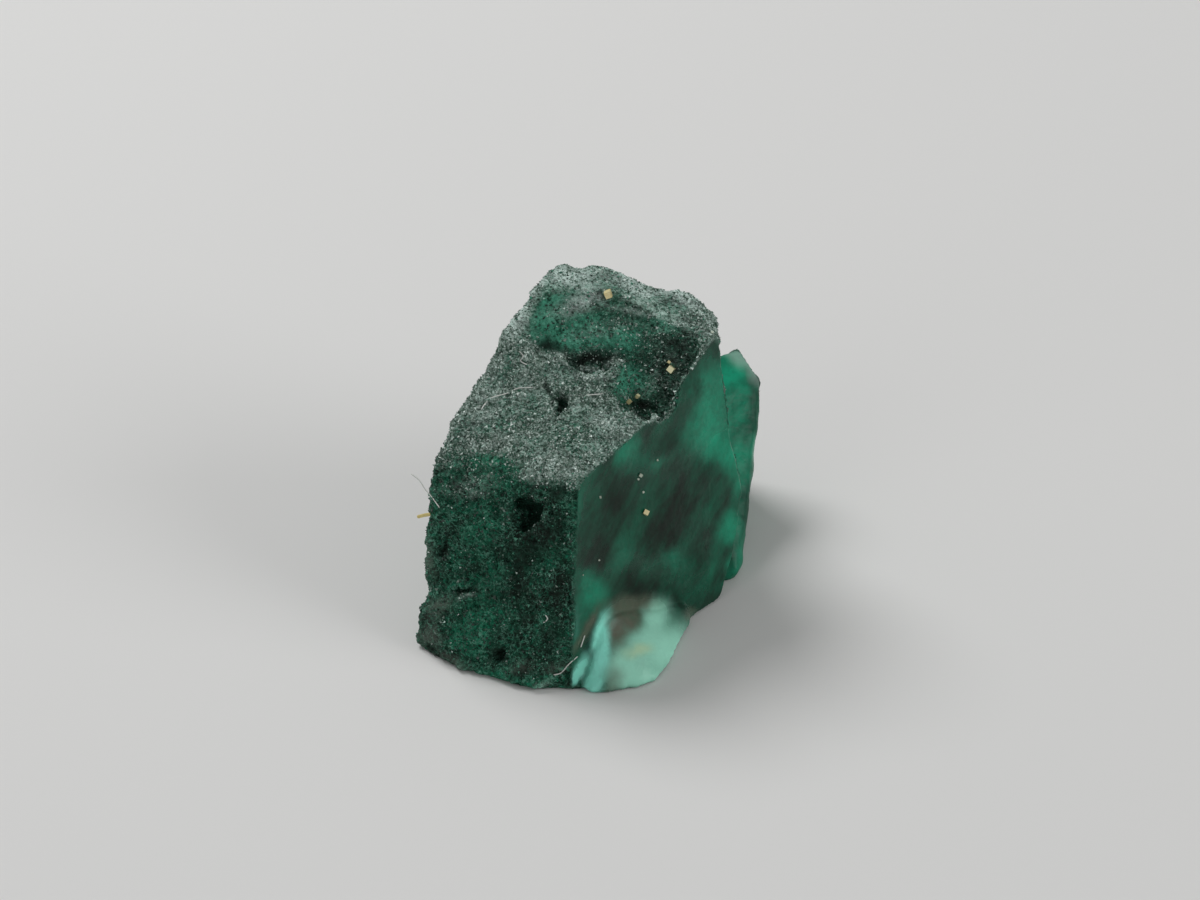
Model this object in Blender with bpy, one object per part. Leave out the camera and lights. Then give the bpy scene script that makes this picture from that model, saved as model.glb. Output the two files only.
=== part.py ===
"""A rough trapiche emerald: one broken hexagonal crystal, about 5 mm across.

The stone is worked out in millimetres in a frame whose origin is the foot of its front
corner, where the rough left prism face meets the smooth broken right face. X runs to the
right, Y to the back and Z up. The finished mesh is then moved so that the origin is the
centre of the box at the bottom, and scaled to metres.
"""
from math import radians

import bmesh
import bpy
import numpy
from mathutils import Matrix, Vector, noise

NAME = "emerald_crystal"
MILLIMETRE = 0.001

# Sizes in millimetres
REMESH_SIZE = 0.06
SAW_ALLOWANCE = 0.08
TRIANGLES = 8400

# The two faces that meet at the front corner: how far back a point of the face lies for
# each millimetre of X and for each millimetre of height
LEFT_FACE_RUN = (-0.512, 0.314)
RIGHT_FACE_RUN = (1.0, 0.260)

# Relief: height of the lumps in millimetres, lumps to a millimetre
TOP_LUMPS = (0.060, 1.9)
LEFT_LUMPS = (0.050, 1.6)
GLASSY_WAVES = (0.016, 0.9)
HIDDEN_LUMPS = (0.055, 1.2)
STRIATION_HEIGHT = 0.028
STRIATIONS_PER_MM = 2.6
RIDGE_HEIGHT = 0.055
RIDGES_PER_MM = 1.3

# Where each kind of surface lies, by the direction that it faces (cosines) and by place
GLASSY_FACING = (0.80, 0.92)
BACKWARD_FACING = (-0.10, 0.30)
CRUSTED_TOP_FACING = 0.62
CRUSTED_TOP_HEIGHT = 2.5
CREST_BEGINS = (2.9, 3.2)

# Right face and slope of the right shoulder, the two smooth broken surfaces
RIGHT_FACE_NORMAL = Vector((RIGHT_FACE_RUN[0], -1, RIGHT_FACE_RUN[1])).normalized()
SLOPE_NORMAL = Vector((-0.06, -0.59, 0.80)).normalized()


def on_left_face(x, z):
    return Vector((x, LEFT_FACE_RUN[0] * x + LEFT_FACE_RUN[1] * z, z))


def on_right_face(x, z):
    return Vector((x, RIGHT_FACE_RUN[0] * x + RIGHT_FACE_RUN[1] * z, z))


def on_ground(x, y):
    """A corner of the underside, with the allowance that is sawn off at the end."""
    return Vector((x, y, -SAW_ALLOWANCE))


# The front block, whose top is the granular plateau
PLATEAU_BLOCK = (
    on_ground(0.00, 0.00), on_ground(-0.35, 0.01), on_ground(-0.72, 0.10),
    on_ground(-1.41, 0.42), on_ground(-1.88, 0.70), on_ground(-2.19, 1.00),
    on_ground(-1.97, 1.95), on_ground(-0.90, 3.60), on_ground(1.60, 4.60),
    on_ground(2.12, 2.14),
    on_left_face(0.05, 2.97), on_left_face(-1.95, 2.30), on_left_face(-1.93, 2.64),
    (-1.61, 2.25, 3.17), (-1.30, 2.72, 3.46), (-0.55, 2.90, 3.54), (1.10, 2.92, 3.60),
    on_right_face(1.20, 3.28), on_right_face(1.72, 3.55),
    on_right_face(2.26, 2.55), on_right_face(2.48, 1.40),
)

# The crest, which rises behind the plateau to the apex
CREST_BLOCK = (
    on_ground(-1.92, 2.05), on_ground(-0.75, 4.00), on_ground(0.70, 5.05),
    on_ground(1.90, 5.05), on_ground(2.40, 3.30),
    (-1.78, 2.08, 2.75), (-1.40, 2.50, 3.30), (-0.40, 2.66, 3.22), (0.90, 2.40, 3.16),
    (-0.98, 2.98, 3.90), (-0.57, 3.56, 4.36), (-0.22, 4.10, 4.55), (0.36, 4.22, 4.44),
    (1.02, 3.98, 4.29), (1.70, 3.92, 4.10), (2.00, 3.74, 3.95), on_right_face(1.45, 3.52),
    on_right_face(2.07, 3.92), on_right_face(2.22, 2.90), on_right_face(2.34, 1.80),
)

# The lower piece that stands back on the right
SHOULDER_BLOCK = (
    on_ground(1.00, 2.40), on_ground(2.34, 2.62), on_ground(2.57, 3.60),
    on_ground(2.55, 4.75), on_ground(2.05, 5.32), on_ground(0.60, 4.80),
    (2.42, 2.60, 0.16), (2.55, 3.30, 0.66), (2.67, 4.25, 1.40), (2.79, 4.98, 1.94),
    (2.46, 5.42, 2.20), (1.05, 4.42, 2.34), (1.40, 3.90, 1.90),
)

# The thin glassy foot that flares out below the right face
FOOT_BLOCK = (
    on_ground(0.04, 0.06), on_ground(0.20, -0.06), on_ground(0.40, -0.10),
    on_ground(0.98, 0.01), on_ground(1.30, 0.20), on_ground(1.46, 0.64),
    on_ground(1.62, 1.22), on_ground(1.73, 1.80), on_ground(2.00, 2.30),
    on_right_face(0.53, 0.82), on_right_face(1.00, 0.64), on_right_face(1.72, 0.32),
    (0.60, 1.40, 0.40), (0.42, 0.02, 0.16), (1.00, 0.20, 0.20),
)

# Hollows: centre, radii along X, Y and Z, tilt about X and then turn about Z in degrees
HOLLOWS = {
    "left_pocket": ((-0.36, 3.00, 3.95), (0.24, 0.30, 0.17), 60, 8),
    "middle_pocket": ((0.32, 2.92, 3.91), (0.43, 0.46, 0.24), 60, -4),
    "right_pocket": ((1.04, 2.40, 3.60), (0.40, 0.53, 0.28), 52, 18),
    "deep_pit": ((0.98, 2.16, 3.20), (0.22, 0.15, 0.28), 0, 10),
    "small_pit": ((-0.13, 2.27, 3.28), (0.11, 0.12, 0.20), 0, 0),
    "left_face_hollow": ((-0.64, 1.00, 2.36), (0.20, 0.22, 0.28), 0, -27),
    "left_face_crack": ((-1.52, 1.14, 0.92), (0.20, 0.08, 0.07), 0, -27),
    "left_edge_notch": ((-2.10, 1.38, 0.78), (0.14, 0.30, 0.26), 0, 0),
    "back_scar": ((0.80, 5.82, 3.00), (1.20, 1.60, 1.40), 0, 0),
    "back_left_scar": ((-2.22, 3.56, 1.30), (1.00, 1.20, 1.20), 0, 60),
    "right_side_scar": ((3.16, 4.10, 0.40), (0.75, 0.90, 0.65), 0, 0),
}


def clear_scene():
    for obj in list(bpy.data.objects):
        bpy.data.objects.remove(obj, do_unlink=True)


def emerald_material():
    """Dark bluish green, half glassy and half crusted."""
    material = bpy.data.materials.new("emerald")
    material.use_nodes = True
    shader = material.node_tree.nodes["Principled BSDF"]
    shader.inputs["Base Color"].default_value = (0.020, 0.085, 0.050, 1)
    shader.inputs["Roughness"].default_value = 0.45
    shader.inputs["Metallic"].default_value = 0.0
    shader.inputs["IOR"].default_value = 1.58
    return material


def object_from_bmesh(name, bm):
    mesh = bpy.data.meshes.new(name)
    bm.to_mesh(mesh)
    bm.free()
    obj = bpy.data.objects.new(name, mesh)
    bpy.context.scene.collection.objects.link(obj)
    return obj


def block(name, corners):
    """The closed solid stretched round a set of corners."""
    bm = bmesh.new()
    for corner in corners:
        bm.verts.new(corner)
    hull = bmesh.ops.convex_hull(bm, input=bm.verts)
    inside = [item for item in hull["geom_interior"] if isinstance(item, bmesh.types.BMVert)]
    bmesh.ops.delete(bm, geom=inside, context="VERTS")
    bmesh.ops.recalc_face_normals(bm, faces=bm.faces)
    return object_from_bmesh(name, bm)


def hollow(name, centre, radii, tilt, turn):
    """A rough egg-shaped cutter."""
    bm = bmesh.new()
    bmesh.ops.create_icosphere(bm, subdivisions=3, radius=1.0)
    for vert in bm.verts:
        vert.co *= 1 + 0.22 * noise.noise(vert.co * 1.7 + Vector(centre) * 5)
    stretch = Matrix.Diagonal((*radii, 1))
    rotation = Matrix.Rotation(radians(turn), 4, "Z") @ Matrix.Rotation(radians(tilt), 4, "X")
    bm.transform(Matrix.Translation(centre) @ rotation @ stretch)
    return object_from_bmesh(name, bm)


def bake(obj):
    """Replace the object's mesh with its evaluated one, and clear its modifiers."""
    graph = bpy.context.evaluated_depsgraph_get()
    mesh = bpy.data.meshes.new_from_object(obj.evaluated_get(graph))
    obj.modifiers.clear()
    obj.data = mesh


def combine(obj, other, operation):
    modifier = obj.modifiers.new(operation, "BOOLEAN")
    modifier.operation = operation
    modifier.solver = "EXACT"
    modifier.object = other
    bake(obj)
    bpy.data.objects.remove(other, do_unlink=True)


def remesh(obj, size):
    modifier = obj.modifiers.new("even_mesh", "REMESH")
    modifier.mode = "VOXEL"
    modifier.voxel_size = size
    bake(obj)


def ramp(value, low, high):
    """0 below low, 1 above high, and even in between."""
    return min(1.0, max(0.0, (value - low) / (high - low)))


def lumps(point, size):
    height, per_mm = size
    return height * noise.fractal(point * per_mm, 0.9, 2.1, 4)


def ridges(point):
    """Etched ribs and furrows of the crest."""
    value = noise.ridged_multi_fractal(point * RIDGES_PER_MM, 0.9, 2.0, 4, 1.0, 2.0)
    return RIDGE_HEIGHT * (value - 1.2)


def striations(point, normal):
    """Growth ribs that run up the hidden prism faces."""
    across = Vector((-normal.y, normal.x, 0)).dot(point)
    wave = noise.noise(Vector((across * STRIATIONS_PER_MM, point.z * 0.25, 3.7)))
    return STRIATION_HEIGHT * wave


def relief(point, normal):
    """How far the surface stands out of the plain blocks at a point."""
    upward = max(0.0, normal.z)
    glassy = max(normal.dot(RIGHT_FACE_NORMAL), normal.dot(SLOPE_NORMAL))
    glassy = ramp(glassy, *GLASSY_FACING)
    if upward > CRUSTED_TOP_FACING and point.z > CRUSTED_TOP_HEIGHT:
        glassy = 0.0
    hidden = ramp(normal.y, *BACKWARD_FACING) * (1 - upward)
    front = (1 - glassy) * (1 - hidden)
    height = lumps(point, GLASSY_WAVES) * glassy
    height += (lumps(point, HIDDEN_LUMPS) + striations(point, normal)) * hidden
    height += lumps(point, LEFT_LUMPS) * front * (1 - upward)
    height += lumps(point, TOP_LUMPS) * front * upward
    if point.y > CREST_BEGINS[0] and point.z > CREST_BEGINS[1]:
        height += ridges(point) * upward
    return height


def roughen(obj):
    """Push the surface in and out along its own normals."""
    mesh = obj.data
    normals = [vert.normal.copy() for vert in mesh.vertices]
    for vert, normal in zip(mesh.vertices, normals):
        vert.co += normal * relief(vert.co, normal)


def thin_out(obj, triangles):
    modifier = obj.modifiers.new("fewer_faces", "DECIMATE")
    mesh = obj.data
    mesh.calc_loop_triangles()
    modifier.ratio = triangles / len(mesh.loop_triangles)
    bake(obj)


def cut_base(obj):
    """Saw the underside off flat, so that the stone stands on one true plane."""
    bm = bmesh.new()
    bm.from_mesh(obj.data)
    geometry = bm.verts[:] + bm.edges[:] + bm.faces[:]
    cut = bmesh.ops.bisect_plane(
        bm, geom=geometry, dist=0.0005, plane_co=(0, 0, 0), plane_no=(0, 0, -1),
        clear_outer=True)
    rim = [item for item in cut["geom_cut"] if isinstance(item, bmesh.types.BMEdge)]
    bmesh.ops.edgeloop_fill(bm, edges=rim)
    bmesh.ops.triangulate(bm, faces=bm.faces)
    bmesh.ops.recalc_face_normals(bm, faces=bm.faces)
    bm.to_mesh(obj.data)
    bm.free()


def settle(obj):
    """Move the stone so that the origin is under the middle of its box, in metres."""
    points = numpy.array([vert.co for vert in obj.data.vertices])
    low, high = points.min(axis=0), points.max(axis=0)
    middle = Vector(((low[0] + high[0]) / 2, (low[1] + high[1]) / 2, low[2]))
    obj.data.transform(Matrix.Scale(MILLIMETRE, 4) @ Matrix.Translation(-middle))
    print("front corner foot, mm:", tuple(round(value, 4) for value in -middle))


def build_crystal():
    stone = block(NAME, PLATEAU_BLOCK)
    combine(stone, block("crest", CREST_BLOCK), "UNION")
    combine(stone, block("shoulder", SHOULDER_BLOCK), "UNION")
    combine(stone, block("foot", FOOT_BLOCK), "UNION")
    for name, shape in HOLLOWS.items():
        combine(stone, hollow(name, *shape), "DIFFERENCE")
    remesh(stone, REMESH_SIZE)
    roughen(stone)
    thin_out(stone, TRIANGLES)
    cut_base(stone)
    settle(stone)
    stone.data.materials.clear()
    stone.data.materials.append(emerald_material())
    return stone


clear_scene()
build_crystal()
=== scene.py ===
"""The looks of a rough trapiche emerald, about 5 mm across, standing on a pale floor.

Lengths are millimetres in the stone's own frame, whose origin is the foot of the front
corner, until a finished mesh is moved to the row frame in metres. Pixels are those of the
1200 by 900 photograph.
"""
from math import cos, radians, sin

import bpy
import numpy as np
from mathutils import Matrix, Vector, noise
from mathutils.bvhtree import BVHTree


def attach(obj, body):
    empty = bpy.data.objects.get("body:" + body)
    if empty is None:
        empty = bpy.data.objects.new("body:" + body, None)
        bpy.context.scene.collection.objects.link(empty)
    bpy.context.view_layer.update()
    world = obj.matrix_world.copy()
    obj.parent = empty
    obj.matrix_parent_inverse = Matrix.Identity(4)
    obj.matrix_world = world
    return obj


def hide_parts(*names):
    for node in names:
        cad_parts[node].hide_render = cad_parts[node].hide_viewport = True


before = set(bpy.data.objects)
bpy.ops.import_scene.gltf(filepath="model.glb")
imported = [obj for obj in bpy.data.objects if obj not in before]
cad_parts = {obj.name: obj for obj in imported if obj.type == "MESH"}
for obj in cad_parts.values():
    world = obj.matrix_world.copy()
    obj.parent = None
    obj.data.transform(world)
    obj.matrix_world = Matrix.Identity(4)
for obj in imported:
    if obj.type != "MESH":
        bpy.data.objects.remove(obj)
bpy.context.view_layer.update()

NODE = "emerald_crystal"
MM = 0.001
FRONT_CORNER = Vector((-0.3032, -2.6820, 0.0))
TO_ROW = Matrix.Scale(MM, 4) @ Matrix.Translation(FRONT_CORNER)

# The photograph's camera
PHOTO_SIZE_PX = (1200, 900)
MM_PER_PIXEL = 0.014
CAMERA_DISTANCE = 60.0
CAMERA_ELEVATION = radians(35.4)
FRONT_CORNER_PX = (570, 693)
SENSOR_WIDTH = 36.0

# Which way the smooth right face looks
RIGHT_NORMAL = Vector((1.0, -1.0, 0.26)).normalized()

# Broken faces behind, which are fresh glass: centre and radii of the round break
SCARS = [
    ((0.80, 5.82, 3.00), (1.20, 1.60, 1.40)),
    ((-2.22, 3.56, 1.30), (1.00, 1.20, 1.20)),
    ((3.16, 4.10, 0.40), (0.75, 0.90, 0.65)),
]
SCAR_RAGGEDNESS = 0.08
SCAR_RIM = (0.07, 0.15)

# Soft ovals in the photograph's pixels, for stain colours and for painted light and shade: middle,
# half length, half width, tilt and strength
RIGHT_CHARCOAL = [
    (628, 594, 20, 6, 0, 0.70), (676, 602, 9, 8, 0, 0.95), (655, 520, 40, 26, 0, 0.50),
    (586, 530, 30, 8, 85, 0.50), (668, 558, 16, 12, 0, 0.35),
    (691, 383, 20, 5, 95, 0.75), (671, 439, 22, 9, 25, 0.65), (702, 468, 15, 11, 30, 0.85),
    (746, 424, 11, 7, 30, 0.45), (743, 498, 9, 11, 0, 0.55), (672, 506, 40, 28, 20, 0.85),
    (613, 508, 40, 20, 80, 0.80), (699, 551, 20, 9, 70, 0.85), (635, 583, 20, 12, 0, 0.90),
    (660, 588, 26, 7, 0, 0.65), (650, 538, 32, 12, 0, 0.70),
    (722, 548, 14, 7, 60, 0.45), (600, 556, 16, 10, 80, 0.50), (585, 632, 22, 3, 60, 0.80),
    (591, 612, 10, 5, 50, 0.60), (600, 462, 16, 6, 70, 0.45), (690, 500, 30, 8, 70, 0.40),
]
# Teal ovals on the right face: painted light shining through the clear stone
RIGHT_GLOW = [
    (714, 428, 34, 24, 70, 0.95), (706, 398, 34, 12, 95, 0.85), (732, 372, 30, 17, 60, 0.95),
    (741, 452, 16, 11, 0, 0.75), (627, 454, 18, 7, 65, 0.80), (658, 460, 9, 5, 50, 0.50),
    (672, 561, 15, 8, 20, 0.50), (731, 527, 16, 10, 62, 0.75), (622, 550, 16, 9, 60, 0.30),
    (590, 594, 18, 15, 60, 0.90), (652, 402, 20, 8, 40, 0.45), (738, 560, 26, 8, 62, 0.50),
    (742, 465, 40, 9, 85, 0.55), (636, 458, 16, 16, 60, 0.35), (575, 530, 44, 3, 90, 0.35),
    (744, 400, 30, 9, 85, 0.60),
]
# Pale green ovals on the foot: painted light shining through the thin foot
FOOT_PAINTED_MINT_GLOW = [
    (664, 648, 34, 27, 20, 1.00), (645, 680, 36, 13, 5, 0.90), (656, 616, 16, 12, 60, 0.90),
    (624, 666, 20, 17, 0, 0.95), (640, 640, 20, 16, 30, 0.70),
]
# Blue-green ovals on the foot: painted light shining through the thin foot
FOOT_PAINTED_TURQUOISE_GLOW = [
    (603, 648, 38, 11, 78, 1.00), (593, 684, 16, 8, 80, 0.90), (581, 672, 20, 6, 70, 0.80),
    (573, 630, 24, 5, 80, 0.15),
]
FOOT_BROWN = [
    (620, 634, 18, 8, 85, 0.95), (632, 606, 24, 10, 0, 0.85), (626, 621, 15, 12, 20, 0.90),
    (614, 682, 18, 9, 80, 0.55), (689, 614, 8, 7, 0, 0.60), (587, 632, 28, 5, 62, 0.85),
]
FOOT_STRAW = [(638, 650, 12, 6, 22, 0.70)]
# Dark ovals on the left face: black inclusions, and painted shade in the pits
LEFT_CHARCOAL_AND_PIT_SHADE = [
    (522, 506, 9, 8, 0, 0.50), (532, 514, 9, 13, 0, 0.70), (526, 527, 9, 7, 0, 0.50),
    (560, 491, 12, 9, 20, 0.75), (498, 656, 9, 6, 0, 0.90), (443, 551, 9, 6, 90, 0.85),
    (520, 572, 34, 14, 80, 0.80), (503, 600, 15, 9, 0, 0.50), (549, 640, 28, 11, 80, 0.65),
    (463, 590, 12, 3, 10, 0.90), (470, 502, 12, 6, 10, 0.45), (558, 590, 26, 9, 85, 0.65),
    (430, 655, 7, 5, 0, 0.70), (520, 672, 12, 7, 0, 0.65), (540, 540, 26, 14, 50, 0.75),
    (505, 548, 16, 9, 20, 0.55), (537, 492, 10, 5, 40, 0.55), (530, 610, 18, 10, 60, 0.50),
    (560, 530, 22, 8, 85, 0.45), (452, 620, 10, 6, 20, 0.40),
]
# Greener ovals on the left face: green patches, with painted teal glints
LEFT_GLOW = [
    (484, 527, 20, 12, 30, 0.90), (469, 583, 16, 8, 0, 0.70), (486, 622, 34, 20, 20, 0.85),
    (546, 680, 18, 7, 10, 0.80), (490, 480, 40, 12, -8, 0.70), (454, 560, 20, 9, 90, 0.55),
    (468, 642, 20, 9, -25, 0.75), (545, 560, 12, 7, 90, 0.40), (450, 490, 16, 12, 90, 0.45),
    (495, 575, 14, 8, 0, 0.50), (520, 478, 16, 6, -10, 0.60), (480, 503, 32, 16, 0, 0.60),
    (500, 674, 34, 8, -18, 0.60),
]
# Greyish ovals on the left face, partly painted rim light along its silhouette
LEFT_GREY_AND_RIM_LIGHT = [
    (437, 606, 14, 9, 60, 0.80), (430, 560, 20, 5, 90, 0.70), (518, 668, 12, 7, 0, 0.60),
    (428, 636, 14, 8, 60, 0.60), (450, 658, 22, 5, -25, 0.50), (556, 668, 14, 6, 0, 0.50),
    (436, 640, 12, 7, 20, 0.40), (488, 684, 34, 5, -20, 0.70),
]
# Dark ovals on top: black inclusions, with painted shade just behind the ledge and in the pits
TOP_CHARCOAL_AND_SHADE = [
    (547, 344, 13, 6, -20, 0.95), (590, 361, 26, 8, 5, 1.00), (642, 405, 14, 8, 5, 1.00),
    (664, 366, 8, 7, 0, 0.80), (549, 392, 12, 4, -58, 0.70), (561, 405, 7, 9, 10, 1.00),
    (484, 424, 16, 5, 15, 0.50), (640, 318, 18, 5, -10, 0.35), (601, 294, 6, 4, 0, 0.80),
    (684, 348, 24, 13, -30, 0.50), (655, 345, 22, 9, 0, 0.45), (524, 418, 16, 4, 10, 0.30),
    (622, 300, 14, 4, 0, 0.45), (500, 412, 12, 3, 10, 0.30), (612, 352, 12, 6, 20, 0.60),
]
# Greener ovals on top: green patches, painted lighter in the recess as painted light
TOP_GLOW = [
    (572, 332, 36, 15, 5, 1.00), (622, 340, 24, 13, 0, 0.80), (627, 380, 15, 14, 0, 1.00),
    (548, 310, 26, 15, 60, 0.75), (660, 322, 22, 10, 0, 0.50), (505, 467, 85, 12, -6, 0.95),
    (560, 368, 16, 6, 30, 0.40), (490, 428, 26, 6, 5, 0.45), (565, 285, 26, 12, 0, 0.50),
    (545, 440, 20, 4, 10, 0.35), (505, 372, 20, 8, 60, 0.40), (596, 338, 30, 12, 0, 0.90),
    (462, 425, 22, 8, 50, 0.40),
]
# Pale ovals: frosted crust, with painted highlights along the shoulder, the ledge's rim and the
# silhouette
TOP_FROST_AND_HIGHLIGHTS = [
    (550, 467, 28, 7, -8, 0.95), (573, 471, 8, 5, 0, 1.00), (545, 462, 12, 5, 0, 1.00),
    (495, 446, 28, 6, 8, 0.70), (475, 450, 10, 4, 0, 0.60), (535, 475, 18, 4, -5, 0.50),
    (568, 276, 30, 14, -5, 0.80), (690, 300, 30, 8, -32, 0.85), (640, 284, 28, 7, -12, 0.85),
    (457, 412, 48, 8, 58, 1.00), (500, 348, 44, 8, 58, 0.90), (530, 292, 30, 8, 60, 0.95),
    (592, 373, 14, 3, 0, 0.90), (612, 428, 30, 10, -20, 0.45), (645, 418, 16, 3, -15, 0.90),
    (710, 330, 16, 7, -60, 0.90), (540, 352, 18, 3, -35, 0.80), (580, 302, 30, 10, 20, 0.50),
    (640, 312, 30, 4, -5, 0.45), (580, 400, 26, 9, 0, 0.30), (676, 322, 18, 3, -10, 0.60),
    (480, 402, 30, 14, 58, 0.50), (530, 384, 30, 14, 20, 0.40), (600, 330, 30, 8, 10, 0.20),
    (560, 357, 12, 3, -35, 0.80), (612, 359, 10, 3, 45, 0.80), (556, 466, 30, 11, -5, 0.40),
]
LEFT_FROST = [
    (478, 495, 14, 3, 8, 0.25), (468, 486, 26, 9, 10, 0.20), (546, 684, 9, 4, 30, 0.20),
    (463, 596, 8, 2, 0, 0.40),
]
# Pale ovals on the glassy shoulder's top rim, partly painted highlight
SHOULDER_FROST_AND_HIGHLIGHT = [(738, 354, 30, 10, -36, 0.50), (757, 376, 14, 8, -75, 0.50)]

# How soft an oval's rim is, as shares of its size where it starts and stops to fade
PLAIN_RIM = (0.20, 1.60)
SOFT_RIM = (0.0, 1.8)
CRISP_RIM = (0.50, 1.30)
PIT_RIM = (0.20, 1.30)

# How far ovals are pushed about by noise, in pixels
LOOSE_WANDER = 9
TIGHT_WANDER = 5
PIT_WANDER = 4

# Stains on the hidden sides, which come from noise
HIDDEN_CHARCOAL = 0.8
HIDDEN_GLOW = 0.7
HIDDEN_PATCHES = (0.05, 0.70)

# Small pits, as ovals in the photograph's pixels that are sunk by a share of a depth
PITS = [
    (561, 404, 9, 12, 10, 1.00), (549, 391, 12, 4, -58, 0.50), (522, 506, 8, 7, 0, 0.60),
    (532, 514, 8, 12, 0, 1.00), (526, 526, 8, 6, 0, 0.60), (463, 590, 11, 2, 10, 0.50),
    (498, 656, 8, 5, 0, 0.50), (443, 551, 7, 5, 90, 0.40),
]
PIT_DEPTH = 0.18

# Specks on the stone, by the pixel they show at and their width in millimetres
GOLDEN_SPECKS = [
    ((608, 294), 0.078), ((672, 368), 0.065), ((628, 402), 0.048), ((638, 397), 0.040),
    ((645, 512), 0.060), ((669, 362), 0.035),
]
PALE_SPECKS = [
    ((640, 475), 0.035), ((643, 492), 0.022), ((600, 497), 0.024), ((657, 460), 0.018),
    ((599, 560), 0.014), ((583, 575), 0.012), ((712, 333), 0.030), ((638, 479), 0.020),
]
SPECK_LIFT = 0.3

# The straw flake and the lint fibres, as routes of pixels, with widths in millimetres
STRAW_ROUTE = [(432, 513), (425, 515), (417, 517)]
STRAW_WIDTH = 0.05
FIBRES = [
    [(574, 396), (598, 395), (603, 393)],
    [(482, 410), (485, 404), (493, 398), (507, 394), (515, 390), (521, 388), (533, 387)],
    [(519, 352), (523, 356), (521, 361), (527, 365)],
    [(584, 635), (582, 641), (580, 647)],
    [(545, 615), (547, 619), (544, 623)],
    [(577, 656), (570, 664), (561, 672), (553, 675)],
    [(440, 508), (432, 497), (425, 489), (419, 480), (411, 474)],
]
FIBRE_WIDTH = 0.016
FIBRE_LIFT = 0.9
FIBRE_SIDES = 6
FIBRE_TAPER = 0.4
CURVE_STEPS = 6

# The stone's colours, and what its clear parts keep of white light
BLACK_GREEN = (0.004, 0.008, 0.005)
DEEP_GREEN = (0.007, 0.026, 0.015)
MID_GREEN = (0.012, 0.095, 0.053)
RICH_GREEN = (0.014, 0.230, 0.125)
TEAL_GREEN = (0.010, 0.480, 0.270)
GLASS_GREEN = (0.008, 0.175, 0.096)
LIT_GREEN = (0.120, 0.480, 0.330)
CHARCOAL = (0.009, 0.014, 0.010)
WISP_GREEN = (0.15, 0.40, 0.29)
# The foot's pale green and blue-green, painted as light shining through it
MINT_GLOW = (0.42, 0.93, 0.72)
TURQUOISE_GLOW = (0.34, 1.00, 0.82)
BROWN = (0.15, 0.15, 0.11)
STRAW_GREEN = (0.60, 0.82, 0.50)
GREY = (0.16, 0.19, 0.16)
# Frosted white, also used for painted highlights
PALE_FROST_AND_HIGHLIGHT = (0.52, 0.70, 0.62)
RIME_AND_HIGHLIGHT = (0.80, 0.96, 0.90)
ABSORBED_TO = (0.20, 0.84, 0.64)
ABSORPTION_PER_METRE = 1000.0
EMERALD_IOR = 1.58
STREAK_TURN = (0.0, radians(-45), radians(45))
STREAK_STRETCH = (0.60, 2.0, 1.5)
GRIT_STRETCH = (0.6, 1.2, 1.2)
CRUST_BUMP = 0.04

# Colours of the small pieces, dark and light, or unworn and worn
PALE_CHIP_COLOURS = ((0.05, 0.12, 0.08), (0.84, 0.98, 0.91))
GREEN_CHIP_COLOURS = ((0.006, 0.028, 0.016), (0.08, 0.34, 0.22))
PALE_SPECK_COLOURS = ((0.45, 0.52, 0.42), (0.85, 0.90, 0.80))
GOLDEN_COLOURS = ((1.00, 0.95, 0.60), (0.85, 0.62, 0.22))
LINT_COLOURS = ((0.80, 0.80, 0.76), (0.62, 0.66, 0.62))
STRAW_COLOURS = ((0.78, 0.68, 0.30), (0.55, 0.42, 0.14))
TONE_POWER = 2.1

# The studio: metres and watts, with each light's place, width and power
FLOOR_HEIGHT = -0.00002
FLOOR_HALF_WIDTH = 0.15
SQUARE = ((-1, -1), (1, -1), (1, 1), (-1, 1))
FLOOR_COLOUR = (0.78, 0.78, 0.77)
LIGHTS = {
    "key_above_behind": ((-0.050, 0.055, 0.090), 0.06, 0.075),
    "side_right": ((0.100, -0.040, 0.050), 0.07, 0.045),
    "fill_front_left": ((-0.070, -0.080, 0.060), 0.07, 0.010),
}
SKY_STRENGTH = 0.22

# The scalloped ledge across the top, in plan, and the ground behind it that lies lower
LEDGE = [
    (-0.56, 3.02), (-0.46, 2.93), (-0.31, 2.90), (-0.14, 2.80), (0.07, 2.71), (0.28, 2.66),
    (0.45, 2.71), (0.60, 2.82), (0.72, 2.86), (0.70, 2.62), (0.61, 2.40), (0.62, 2.20),
    (0.78, 2.05), (1.00, 2.00), (1.20, 2.06), (1.38, 2.24), (1.46, 2.44),
]
RECESS_BACK = [
    (1.80, 2.80), (1.80, 3.10), (1.30, 3.38), (0.60, 3.60), (0.00, 3.66), (-0.40, 3.50),
    (-0.58, 3.25),
]
RECESS_LOWEST = 2.7
RECESS_RIGHT_END = -0.06
RECESS_ROUNDS = 500
LEDGE_REACH = 0.05
LEDGE_STEEPEST = 0.5
LEDGE_WALL = (0.0, 0.09)
LEDGE_FADE = (0.20, 0.85)
LEDGE_LEFT_END = (-0.60, 0.10)
LEDGE_DROP = 0.50
DEEP_PIT = (0.98, 2.20)
DEEP_PIT_RIM = (0.12, 0.28)
DEEP_PIT_DROP = 0.55
LUMP_HEIGHT = 0.06
LUMPS_FROM_LEDGE = (0.1, 0.3)

# How far a surface has to look one way to count as one that does: not at all, and fully
LOOKS_DOWN = (0.80, 0.95)
LOOKS_UP = (0.40, 0.70)
LOOKS_BACK = (-0.10, 0.25)
LOOKS_SIDEWAYS = (0.25, 0.55)
LOOKS_AS_RIGHT_FACE = (0.80, 0.93)
LOOKS_AS_SHOULDER = (-0.35, -0.10)
LOOKS_AS_CREASE = 0.3
SEEN_FROM_FRONT = (-0.4, 0.0)

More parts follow.
